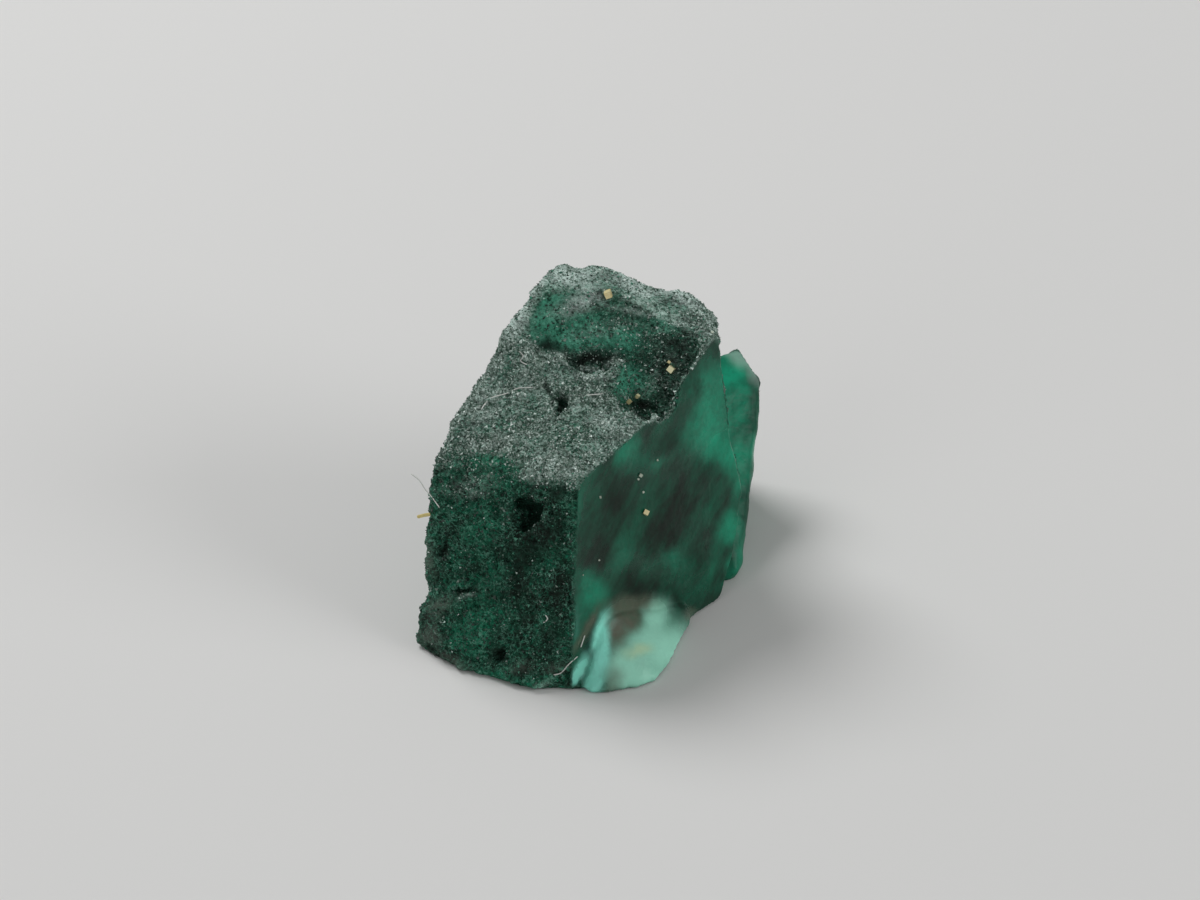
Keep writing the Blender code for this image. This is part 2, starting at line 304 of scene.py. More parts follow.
# Where each kind of surface lies, in millimetres
BASE_TOP = 0.03
FOOT_TOP = 1.0
FOOT_LEFT_END = 0.1
FOOT_PROUD = (0.04, 0.09)
FOOT_RIM = (0.06, 0.30)
FOOT_CREST = (0.45, 0.70)
CREASE_TOP = 1.1
CREASE_LEFT_END = 0.15
CREASE_DEPTH = (-0.08, -0.02)
RIGHT_FACE_DEPTH = 0.12
SHOULDER_LEFT_END = (1.90, 2.05)
SHOULDER_TOP = (2.4, 2.6)
TOP_LOWEST = (2.3, 2.7)
GROUND_RIM = 0.02
CALM_APEX = (3.9, 4.2)
CALM_CHIPS = (3.8, 4.15)
CHIPS_OFF_GROUND = (0.05, 0.20)
EDGE_BULGE = (0.012, 0.060)

# Relief in millimetres, by kind of surface
TOP_RELIEF = {"rough": 0.035, "grain": 0.026, "crumbs": 0.016, "fine": 0.016, "waves": 0.030}
LEFT_RELIEF = {"rough": 0.060, "crumbs": 0.022, "grain": 0.014, "fine": 0.014, "gashes": 0.050}
HIDDEN_RELIEF = {"rough": 0.050, "crumbs": 0.016, "fine": 0.014}
GLASS_RELIEF = {"swell": 0.020, "fine": 0.003}
CRUST_SWELL = 0.040
WAVE_STRETCH = (1.0, 2.2, 1.0)
GASHES = (0.40, 0.75)

# Noise: how fast it fades and fines from layer to layer, and how steep its round grains are
NOISE_FADE = 0.9
NOISE_STEP = 2.1
GRAIN_STEEPNESS = 1.6

# Chips in the crust: how many, and their widths in millimetres, drawn from a gamma curve
PALE_GRAINS = 30000
GREEN_GRAINS = 30000
GRAIN_WIDTH_SHAPE = 2.5
GRAIN_WIDTH_SCALE = 0.0045
LARGEST_GRAIN = 0.026
GRAIN_LIFT = (-0.1, 0.2)
CHIP_UNEVENNESS = 0.5
CUBE_UNEVENNESS = 0.15
CHIP_SEED = 11
SPECK_SEED = 5

# Shapes of small crystals: corners in widths, and faces
CHIP = (
    np.array([(0.6, 0.6, 0.6), (0.6, -0.6, -0.6), (-0.6, 0.6, -0.6), (-0.6, -0.6, 0.6)]),
    np.array([(0, 1, 2), (0, 2, 3), (0, 3, 1), (1, 3, 2)]),
)
CUBE = (
    np.array([(x, y, z) for x in (-0.6, 0.6) for y in (-0.6, 0.6) for z in (-0.6, 0.6)]),
    np.array([(0, 1, 3, 2), (4, 6, 7, 5), (0, 4, 5, 1), (2, 3, 7, 6), (0, 2, 6, 4), (1, 5, 7, 3)]),
)

# How finely the solid and then its skin are remeshed, in millimetres
BODY_VOXEL = 0.050
SKIN_VOXEL = 0.022
SKIN_TRIANGLES = 196000

# Numbers of a colour mix node's sockets
MIX_FIRST = 6
MIX_SECOND = 7
MIX_RESULT = 2


def view_axes():
    """Directions to the right, up and into the picture."""
    right = Vector((1, 0, 0))
    up = Vector((0, sin(CAMERA_ELEVATION), cos(CAMERA_ELEVATION)))
    into = Vector((0, cos(CAMERA_ELEVATION), -sin(CAMERA_ELEVATION)))
    return right, up, into


def camera_place():
    """Where the camera stands, in the stone's own frame."""
    right, up, into = view_axes()
    across = PHOTO_SIZE_PX[0] / 2 - FRONT_CORNER_PX[0]
    above = FRONT_CORNER_PX[1] - PHOTO_SIZE_PX[1] / 2
    middle = (right * across + up * above) * MM_PER_PIXEL
    return middle - into * CAMERA_DISTANCE


def pixel_ray(pixel):
    """Start and direction of the line of sight through a pixel."""
    right, up, into = view_axes()
    across = (pixel[0] - PHOTO_SIZE_PX[0] / 2) * MM_PER_PIXEL / CAMERA_DISTANCE
    above = (PHOTO_SIZE_PX[1] / 2 - pixel[1]) * MM_PER_PIXEL / CAMERA_DISTANCE
    return camera_place(), (into + right * across + up * above).normalized()


def make_camera():
    data = bpy.data.cameras.new("photo_camera")
    data.sensor_width = SENSOR_WIDTH
    field = PHOTO_SIZE_PX[0] * MM_PER_PIXEL
    data.lens = SENSOR_WIDTH * CAMERA_DISTANCE / field
    data.clip_start = 0.001
    data.clip_end = 1.0
    camera = bpy.data.objects.new("photo_camera", data)
    camera.location = TO_ROW @ camera_place()
    camera.rotation_euler = (radians(90) - CAMERA_ELEVATION, 0, 0)
    bpy.context.scene.collection.objects.link(camera)
    bpy.context.scene.camera = camera


def mesh_object(name, mesh):
    obj = bpy.data.objects.new(name, mesh)
    bpy.context.scene.collection.objects.link(obj)
    return obj


def bake(obj):
    """Apply the object's modifiers to its mesh."""
    graph = bpy.context.evaluated_depsgraph_get()
    mesh = bpy.data.meshes.new_from_object(obj.evaluated_get(graph))
    obj.modifiers.clear()
    obj.data = mesh


def points_of(mesh):
    values = np.empty(len(mesh.vertices) * 3)
    mesh.vertices.foreach_get("co", values)
    return values.reshape(-1, 3)


def normals_of(mesh):
    values = np.empty(len(mesh.vertices) * 3)
    mesh.vertices.foreach_get("normal", values)
    return values.reshape(-1, 3)


def set_points(mesh, points):
    mesh.vertices.foreach_set("co", np.asarray(points).ravel())
    mesh.update()


def edges_of(mesh):
    values = np.empty(len(mesh.edges) * 2, dtype=int)
    mesh.edges.foreach_get("vertices", values)
    return values.reshape(-1, 2)


def ramp(values, low, high):
    """0 below low, 1 above high, and smooth in between."""
    share = np.clip((values - low) / (high - low), 0, 1)
    return share * share * (3 - 2 * share)


def smooth(values, edges, rounds):
    """Average each vertex's value with its neighbours'."""
    count = np.zeros(len(values))
    np.add.at(count, edges.ravel(), 1)
    flat = values.reshape(len(values), -1)
    for _ in range(rounds):
        total = np.zeros_like(flat)
        np.add.at(total, edges[:, 0], flat[edges[:, 1]])
        np.add.at(total, edges[:, 1], flat[edges[:, 0]])
        flat = 0.5 * flat + 0.5 * total / count[:, None]
    return flat.reshape(values.shape)


def fractal(points, per_mm, detail=4, shift=0.0):
    offset = Vector((shift, shift * 2, -shift))
    places = (Vector(point) * per_mm + offset for point in points)
    return np.array([noise.fractal(place, NOISE_FADE, NOISE_STEP, detail) for place in places])


def grains_relief(points, per_mm, shift=0.0):
    """Packed rounded grains: near 1 in the middle of each, 0 where they meet."""
    offset = Vector((shift, shift, shift))
    result = np.empty(len(points))
    for i, point in enumerate(points):
        near = noise.voronoi(Vector(point) * per_mm + offset)[0]
        result[i] = min(1.0, (near[1] - near[0]) * GRAIN_STEEPNESS)
    return result


def outside_right_face(points):
    return points @ np.array(RIGHT_NORMAL)


def regions_of(points, normals):
    """How much each vertex belongs to each kind of surface, from 0 to 1."""
    upward = normals[:, 2]
    across, _, height = points.T
    off_right = outside_right_face(points)
    base = ramp(-upward, *LOOKS_DOWN) * (height < BASE_TOP)
    foot = ramp(off_right, *FOOT_PROUD) * (height < FOOT_TOP) * (across > FOOT_LEFT_END)
    foot = foot * (1 - base)
    right = ramp(normals @ np.array(RIGHT_NORMAL), *LOOKS_AS_RIGHT_FACE)
    right = right * (np.abs(off_right) < RIGHT_FACE_DEPTH)
    crease = ramp(off_right, *CREASE_DEPTH) * (height < CREASE_TOP) * (across > CREASE_LEFT_END)
    crease = crease * (1 - base)
    right = np.maximum(right, crease * (normals[:, 1] < LOOKS_AS_CREASE))
    shoulder = ramp(across, *SHOULDER_LEFT_END) * ramp(-normals[:, 1], *LOOKS_AS_SHOULDER)
    shoulder = shoulder * ramp(-height, -SHOULDER_TOP[1], -SHOULDER_TOP[0]) * (1 - base)
    scars = scars_at(points)
    behind = np.maximum(ramp(normals[:, 1], *LOOKS_BACK), ramp(normals[:, 0], *LOOKS_SIDEWAYS))
    behind = np.maximum(behind, scars)
    top = ramp(upward, *LOOKS_UP) * ramp(height, *TOP_LOWEST) * (1 - right) * (1 - behind * scars)
    glass = np.maximum(np.maximum(right, shoulder), foot)
    recess = in_recess(points) * (1 - glass)
    top = np.maximum(top, recess)
    hidden = behind * (1 - top) * (1 - glass) * (1 - base)
    left = np.clip(1 - glass - top - hidden - base, 0, 1)
    scar = hidden * scars
    return {
        "base": base, "foot": foot, "right": right, "shoulder": shoulder, "top": top,
        "recess": recess, "glass": glass, "hidden": hidden - scar, "scar": scar, "left": left,
    }


def inside_outline(points, outline):
    """Which points lie inside a closed outline, both in plan."""
    inside = np.zeros(len(points), dtype=bool)
    for (x0, y0), (x1, y1) in zip(outline, outline[1:] + outline[:1]):
        crosses = (y0 > points[:, 1]) != (y1 > points[:, 1])
        at = x0 + (points[:, 1] - y0) * (x1 - x0) / (y1 - y0 + 1e-9)
        inside ^= crosses & (points[:, 0] < at)
    return inside


def in_recess(points):
    """Which points lie in the lower ground behind the ledge."""
    inside = inside_outline(points, LEDGE + RECESS_BACK) & (points[:, 2] > RECESS_LOWEST)
    return inside & (outside_right_face(points) < RECESS_RIGHT_END)


def distance_to_line(points, line):
    """Each point's distance in plan from an open line."""
    nearest = np.full(len(points), np.inf)
    for start, end in zip(np.array(line[:-1]), np.array(line[1:])):
        run = end - start
        share = np.clip((points[:, :2] - start) @ run / (run @ run), 0, 1)
        gap = np.linalg.norm(points[:, :2] - start - share[:, None] * run, axis=1)
        nearest = np.minimum(nearest, gap)
    return nearest


def remeshed(obj, voxel):
    modifier = obj.modifiers.new("even_mesh", "REMESH")
    modifier.mode = "VOXEL"
    modifier.voxel_size = voxel
    bake(obj)
    mesh = obj.data
    return mesh, points_of(mesh), edges_of(mesh)


def soft_normals(mesh, edges, rounds):
    normals = smooth(normals_of(mesh), edges, rounds)
    return normals / np.linalg.norm(normals, axis=1)[:, None]


def sink_recess(mesh, points, edges):
    """Replace the solid's round hollows behind the ledge by one lower, lumpy slope."""
    steep = (normals_of(mesh)[:, 2] < LEDGE_STEEPEST) & (points[:, 2] > RECESS_LOWEST)
    behind = in_recess(points) | (distance_to_line(points, LEDGE) < LEDGE_REACH) & steep
    near = edges[behind[edges].any(axis=1)]
    count = np.zeros(len(points))
    np.add.at(count, near.ravel(), 1)
    for _ in range(RECESS_ROUNDS):
        total = np.zeros_like(points)
        np.add.at(total, near[:, 0], points[near[:, 1]])
        np.add.at(total, near[:, 1], points[near[:, 0]])
        points[behind] = total[behind] / count[behind][:, None]
    back = distance_to_line(points, LEDGE)
    drop = ramp(back, *LEDGE_WALL) * (1 - ramp(back, *LEDGE_FADE))
    drop = drop * ramp(points[:, 0], *LEDGE_LEFT_END)
    pit = 1 - ramp(np.hypot(points[:, 0] - DEEP_PIT[0], points[:, 1] - DEEP_PIT[1]), *DEEP_PIT_RIM)
    lumps = LUMP_HEIGHT * fractal(points, 2.6, 4, shift=3.0) * ramp(back, *LUMPS_FROM_LEDGE)
    points[:, 2] -= behind * (LEDGE_DROP * drop + DEEP_PIT_DROP * pit - lumps)
    return points


def pixels_of(points):
    """Where points show in the photograph, in its pixels."""
    right, up, into = view_axes()
    sight = points - np.array(camera_place())
    scale = CAMERA_DISTANCE / (sight @ np.array(into)) / MM_PER_PIXEL
    across = PHOTO_SIZE_PX[0] / 2 + (sight @ np.array(right)) * scale
    down = PHOTO_SIZE_PX[1] / 2 - (sight @ np.array(up)) * scale
    return np.stack([across, down], axis=1)


def ovals_at(pixels, ovals, rim=PLAIN_RIM):
    """How strongly places are marked by soft ovals, from 0 to 1."""
    clear = np.ones(len(pixels))
    for middle_x, middle_y, length, width, tilt, strength in ovals:
        across = pixels[:, 0] - middle_x
        above = middle_y - pixels[:, 1]
        lengthwise = (across * cos(radians(tilt)) + above * sin(radians(tilt))) / length
        crosswise = (above * cos(radians(tilt)) - across * sin(radians(tilt))) / width
        clear *= 1 - strength * (1 - ramp(np.hypot(lengthwise, crosswise), *rim))
    return 1 - clear


def scars_at(points):
    """How surely each point lies in one of the round breaks behind, from 0 to 1."""
    inside = np.zeros(len(points))
    ragged = SCAR_RAGGEDNESS * fractal(points, 2.6, 4, shift=90.0)
    for centre, radii in SCARS:
        reach = np.linalg.norm((points - np.array(centre)) / np.array(radii), axis=1)
        inside = np.maximum(inside, 1 - ramp(reach - 1 + ragged, *SCAR_RIM))
    return inside


def stains_and_painted_light_of(points, normals, area):
    """Shares of each stain and of painted light and shade: soft ovals in front, and noise behind.
    """
    wander = [fractal(points, 2.4, 6, shift=20.0), fractal(points, 2.4, 6, shift=30.0)]
    wander = np.stack(wander, axis=1)
    pixels = pixels_of(points)
    loose = pixels + LOOSE_WANDER * wander
    tight = pixels + TIGHT_WANDER * wander
    glass, left, top, hidden = (area[name] for name in ("glass", "left", "top", "hidden"))
    # Pale frosted marks and painted highlights go only on faces turned towards the camera
    seen = ramp(-normals @ np.array(view_axes()[2]), *SEEN_FROM_FRONT)
    seen = seen * (1 - glass - area["base"] - area["scar"])
    # Dark shares: black inclusions, with painted shade in the pits and behind the ledge
    charcoal_and_shade = glass * ovals_at(loose, RIGHT_CHARCOAL, SOFT_RIM)
    charcoal_and_shade += left * ovals_at(tight, LEFT_CHARCOAL_AND_PIT_SHADE)
    charcoal_and_shade += top * ovals_at(tight, TOP_CHARCOAL_AND_SHADE)
    patches = ramp(fractal(points, 1.1, 5, shift=50.0), *HIDDEN_PATCHES)
    charcoal_and_shade += hidden * HIDDEN_CHARCOAL * patches
    # Greener shares: green patches, with painted light through the glass and in the recess, and
    # painted glints on the left face
    green_and_painted_glow = glass * ovals_at(loose, RIGHT_GLOW, SOFT_RIM) + left * ovals_at(loose, LEFT_GLOW)
    green_and_painted_glow += top * ovals_at(tight, TOP_GLOW)
    patches = ramp(fractal(points, 1.1, 5, shift=60.0), *HIDDEN_PATCHES)
    green_and_painted_glow += hidden * HIDDEN_GLOW * patches
    frost_and_highlight = seen * ovals_at(tight, TOP_FROST_AND_HIGHLIGHTS) + left * ovals_at(tight, LEFT_FROST)
    frost_and_highlight += area["shoulder"] * ovals_at(tight, SHOULDER_FROST_AND_HIGHLIGHT)
    return {
        "charcoal_and_shade": charcoal_and_shade, "green_and_painted_glow": green_and_painted_glow, "frost_and_highlight": np.minimum(frost_and_highlight, 1),
        # Painted light shining through the foot, in pale green and blue-green
        "painted_mint_glow": glass * ovals_at(tight, FOOT_PAINTED_MINT_GLOW),
        "painted_turquoise_glow": glass * ovals_at(tight, FOOT_PAINTED_TURQUOISE_GLOW, CRISP_RIM),
        "brown": glass * ovals_at(tight, FOOT_BROWN),
        "straw": glass * ovals_at(tight, FOOT_STRAW),
        "grey_and_rim_light": left * ovals_at(tight, LEFT_GREY_AND_RIM_LIGHT),
    }


def onto_right_face(points, share):
    """The points, moved towards the right face's plane by a share of their distance from it."""
    return points - share[:, None] * outside_right_face(points)[:, None] * np.array(RIGHT_NORMAL)


def rounded_body():
    """The stone's solid, evenly remeshed, with flat faces on the right and a low recess on top."""
    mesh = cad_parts[NODE].data.copy()
    mesh.transform(TO_ROW.inverted())
    body = mesh_object("crystal_skin", mesh)
    mesh, points, edges = remeshed(body, BODY_VOXEL)
    area = regions_of(points, soft_normals(mesh, edges, 3))
    points = sink_recess(mesh, points, edges)
    points = smooth(points, edges, 1)
    brow = 4 * smooth(area["top"], edges, 8) * smooth(area["left"], edges, 8)
    foot = smooth(area["foot"], edges, 3) * ramp(points[:, 2], *FOOT_RIM)
    points += np.maximum(foot, brow)[:, None] * (smooth(points, edges, 20) - points)
    points = onto_right_face(points, smooth(area["right"] * (1 - area["foot"]), edges, 1))
    crest = smooth(area["foot"] * ramp(points[:, 2], *FOOT_CREST), edges, 12)[:, None]
    points += np.minimum(1, 1.6 * crest) * (smooth(points, edges, 60) - points)
    set_points(mesh, points)
    return body


def crust_relief(points, area):
    """How far the surface stands proud or sinks, in millimetres."""
    swell = fractal(points, 1.1, 3, shift=9.0)
    rough = fractal(points, 3.0, 5)
    fine = fractal(points, 14.0, 3, shift=5.0)
    grain = grains_relief(points, 14.0) - 0.5
    crumbs = grains_relief(points, 6.0, shift=4.0) - 0.5
    waves = 1 - 2 * np.abs(fractal(points * np.array(WAVE_STRETCH), 1.6, 3, shift=70.0))
    gashes = ramp(fractal(points, 3.4, 3, shift=14.0), *GASHES)
    pixels = pixels_of(points) + PIT_WANDER * np.stack([rough, fine], axis=1)
    pits = ovals_at(pixels, PITS, PIT_RIM)
    calm = area["top"] * (1 - 0.6 * ramp(points[:, 2], *CALM_APEX))
    on = TOP_RELIEF
    height = calm * (on["rough"] * rough + on["grain"] * grain + on["crumbs"] * crumbs)
    height += calm * (on["fine"] * fine + on["waves"] * waves)
    on = LEFT_RELIEF
    height += area["left"] * (on["rough"] * rough + on["crumbs"] * crumbs + on["grain"] * grain)
    height += area["left"] * (on["fine"] * fine - on["gashes"] * gashes)
    on = HIDDEN_RELIEF
    height += area["hidden"] * (on["rough"] * rough + on["crumbs"] * crumbs + on["fine"] * fine)
    height += (area["top"] + area["left"]) * (CRUST_SWELL * swell - PIT_DEPTH * pits)
    on = GLASS_RELIEF
    height += area["glass"] * (on["swell"] * swell + on["fine"] * fine)
    return height


def store_shares(mesh, edges, shares):
    """Keep each share on the mesh, for its material and its chips."""
    for name, values in shares.items():
        attribute = mesh.attributes.new(name, "FLOAT", "POINT")
        attribute.data.foreach_set("value", smooth(values, edges, 2))


def thin_faces(obj, most):
    """Bring a mesh down to a number of triangles."""
    obj.data.calc_loop_triangles()
    triangles = len(obj.data.loop_triangles)
    if triangles > most:
        modifier = obj.modifiers.new("fewer_faces", "DECIMATE")
        modifier.ratio = most / triangles
        bake(obj)


def crystal_skin():
    """The stone's surface, with its crust and its glass, and what each part of it is."""
    skin = rounded_body()
    mesh, points, edges = remeshed(skin, SKIN_VOXEL)
    normals = soft_normals(mesh, edges, 6)
    area = regions_of(points, normals)
    points = smooth(points, edges, 1)
    flat_right = area["right"] * (1 - np.minimum(1, 3 * smooth(area["foot"], edges, 60)))
    points = onto_right_face(points, smooth(flat_right, edges, 2))
    ground = points[:, 2] < GROUND_RIM
    stains_and_painted_light = stains_and_painted_light_of(points, normals, area)
    points += normals * crust_relief(points, area)[:, None]
    # Bulging edges get paler paint and more pale chips, as painted rim light
    bulge = ((points - smooth(points, edges, 30)) * normals).sum(axis=1)
    stains_and_painted_light["edge"] = ramp(bulge, *EDGE_BULGE) * (1 - area["base"])
    points[ground, 2] = 0.0
    points[:, 2] = np.maximum(points[:, 2], 0.0)
    set_points(mesh, points)
    store_shares(mesh, edges, area | stains_and_painted_light)
    thin_faces(skin, SKIN_TRIANGLES)
    return skin


def share_on(mesh, name):
    values = np.empty(len(mesh.vertices))
    mesh.attributes[name].data.foreach_get("value", values)
    return values


def scattered(mesh, weight, count, random):
    """Random places on a mesh and its normals there, thicker where the vertices' weight is high."""
    mesh.calc_loop_triangles()
    corners = np.empty(len(mesh.loop_triangles) * 3, dtype=int)
    mesh.loop_triangles.foreach_get("vertices", corners)
    corners = corners.reshape(-1, 3)
    points = points_of(mesh)
    first, second, third = points[corners].transpose(1, 0, 2)
    facing = np.cross(second - first, third - first)
    size = np.linalg.norm(facing, axis=1)
    chance = size * weight[corners].mean(axis=1)
    picked = random.choice(len(corners), count, p=chance / chance.sum())
    shares = random.dirichlet((1, 1, 1), count)
    places = (points[corners[picked]] * shares[:, :, None]).sum(axis=1)
    return places, facing[picked] / size[picked][:, None]


def random_turns(count, random):
    """Random rotation matrices, from random quaternions."""
    a, b, c, d = random.normal(size=(4, count))
    length = np.sqrt(a * a + b * b + c * c + d * d)
    a, b, c, d = a / length, b / length, c / length, d / length
    rows = [
        [1 - 2 * (c * c + d * d), 2 * (b * c - a * d), 2 * (b * d + a * c)],
        [2 * (b * c + a * d), 1 - 2 * (b * b + d * d), 2 * (c * d - a * b)],
        [2 * (b * d - a * c), 2 * (c * d + a * b), 1 - 2 * (b * b + c * c)],
    ]
    return np.array(rows).transpose(2, 0, 1)


def grains(name, places, normals, widths, random, shape, unevenness):
    """One mesh of many small crystals, each sunk by about half into the crust."""
    count = len(places)
    shape_corners, shape_faces = shape
    size = len(shape_corners)
    corners = shape_corners * random.uniform(1 - unevenness, 1 + unevenness, (count, 1, 3))
    corners = corners @ random_turns(count, random) * widths[:, None, None]
    lift = random.uniform(*GRAIN_LIFT, (count, 1))
    corners += (places + normals * widths[:, None] * lift)[:, None]
    faces = shape_faces + size * np.arange(count)[:, None, None]
    faces = faces.reshape(-1, shape_faces.shape[1])
    mesh = bpy.data.meshes.new(name)
    mesh.from_pydata(corners.reshape(-1, 3).tolist(), [], faces.tolist())
    tone = np.repeat(random.uniform(0, 1, count), size)
    mesh.attributes.new("tone", "FLOAT", "POINT").data.foreach_set("value", tone)
    return mesh_object(name, mesh)


def chips(name, mesh, weight, count, random):
    """Chips of one colour in the crust, thicker where the vertices' weight is high."""
    places, normals = scattered(mesh, weight, count, random)
    widths = random.gamma(GRAIN_WIDTH_SHAPE, GRAIN_WIDTH_SCALE, count)
    widths = np.minimum(widths, LARGEST_GRAIN)
    return grains(name, places, normals, widths, random, CHIP, CHIP_UNEVENNESS)


def crust_grains(skin):
    """Pale and green chips that make the crust glitter."""
    mesh = skin.data
    random = np.random.default_rng(CHIP_SEED)
    points = points_of(mesh)
    top, left, hidden = share_on(mesh, "top"), share_on(mesh, "left"), share_on(mesh, "hidden")
    green_and_painted_glow, frost_and_highlight, edge = share_on(mesh, "green_and_painted_glow"), share_on(mesh, "frost_and_highlight"), share_on(mesh, "edge")
    recess, charcoal_and_shade = share_on(mesh, "recess"), share_on(mesh, "charcoal_and_shade")
    clumps = ramp(fractal(points, 2.0, 3, shift=40.0), -0.3, 0.5)
    dense = ramp(fractal(points, 5.0, 3, shift=80.0), 0.0, 0.5)
    glassy = smooth(share_on(mesh, "glass"), edges_of(mesh), 6)
    open_crust = ramp(points[:, 2], *CHIPS_OFF_GROUND) * (1 - 0.9 * charcoal_and_shade)
    open_crust = open_crust * np.clip(1 - 2 * glassy, 0, 1)
    weight = top * (1 - 0.7 * recess) * (1 - 0.8 * green_and_painted_glow) * (0.15 + 0.6 * clumps + 0.6 * dense)
    # More pale chips on frosted marks and on painted highlights
    frosted = 0.9 * frost_and_highlight * (top + left + hidden)
    weight += (left + hidden) * (0.006 + 0.07 * dense * clumps) + frosted
    weight += edge * (0.6 * top + 0.1 * left + 0.1 * hidden)
    weight *= 1 - 0.8 * top * ramp(points[:, 2], *CALM_CHIPS)
    pale = chips("pale_grains", mesh, weight * open_crust, PALE_GRAINS, random)
    weight = (left + hidden) * (0.3 + clumps * (0.5 + dense) + green_and_painted_glow) + top * (0.25 + 0.5 * green_and_painted_glow)
    green = chips("green_grains", mesh, weight * open_crust, GREEN_GRAINS, random)
    return pale, green


def surface_at(tree, pixel):
    """The place on the stone, and its normal, that shows at a pixel."""
    start, direction = pixel_ray(pixel)
    place, normal, _, _ = tree.ray_cast(start, direction)
    return place, normal


def specks(name, tree, marks, random):
    """Small loose crystals stuck to the stone where the photograph shows them."""
    found = [(*surface_at(tree, pixel), width) for pixel, width in marks]
    places = np.array([place for place, _, _ in found])
    normals = np.array([normal for _, normal, _ in found])
    widths = np.array([width for _, _, width in found])
    places += normals * widths[:, None] * SPECK_LIFT
    return grains(name, places, normals, widths, random, CUBE, CUBE_UNEVENNESS)


def tube(points, width, sides=FIBRE_SIDES):
    """Corners and faces of a round thread along a line, thinner at its ends."""
    corners = []
    faces = []
    for i, point in enumerate(points):
        before, after = points[max(i - 1, 0)], points[min(i + 1, len(points) - 1)]
        along = (after - before).normalized()
        side = along.orthogonal().normalized()
        other = along.cross(side)
        taper = FIBRE_TAPER if i in (0, len(points) - 1) else 1.0
        for j in range(sides):
            angle = radians(360 * j / sides)
            outward = side * cos(angle) + other * sin(angle)
            corners.append(point + outward * width / 2 * taper)
    for i in range(len(points) - 1):
        for j in range(sides):
            k = (j + 1) % sides
            faces.append((i * sides + j, i * sides + k, (i + 1) * sides + k, (i + 1) * sides + j))
    faces.append(tuple(reversed(range(sides))))
    faces.append(tuple(range(len(corners) - sides, len(corners))))
    return corners, faces


def smooth_line(points, steps=CURVE_STEPS):
    """A curve through the points."""
    line = []
    for i in range(len(points) - 1):
        before, start = points[max(i - 1, 0)], points[i]
        end, after = points[i + 1], points[min(i + 2, len(points) - 1)]
        for step in range(steps):
            t = step / steps
            square = 2 * before - 5 * start + 4 * end - after
            cube = 3 * start - before - 3 * end + after
            line.append(start + ((end - before) * t + square * t ** 2 + cube * t ** 3) / 2)
    return line + [points[-1]]


def laid_along(tree, route, width):
    """Places just above the stone along a route of pixels. Past its edge they hang in the air."""
    places = []
    for pixel in route:
        place, normal = surface_at(tree, pixel)
        if place is None:
            start, direction = pixel_ray(pixel)
            places.append(start + direction * (places[-1] - start).length)
        else:
            places.append(place + normal * width * FIBRE_LIFT)
    return places


def threads(name, tree, routes, width):
    """Threads lying on the stone along routes of pixels."""
    corners = []
    faces = []
    for route in routes:
        line = smooth_line(laid_along(tree, route, width))
        new_corners, new_faces = tube(line, width)
        faces += [tuple(len(corners) + i for i in face) for face in new_faces]
        corners += new_corners
    mesh = bpy.data.meshes.new(name)
    mesh.from_pydata(corners, [], faces)
    return mesh_object(name, mesh)


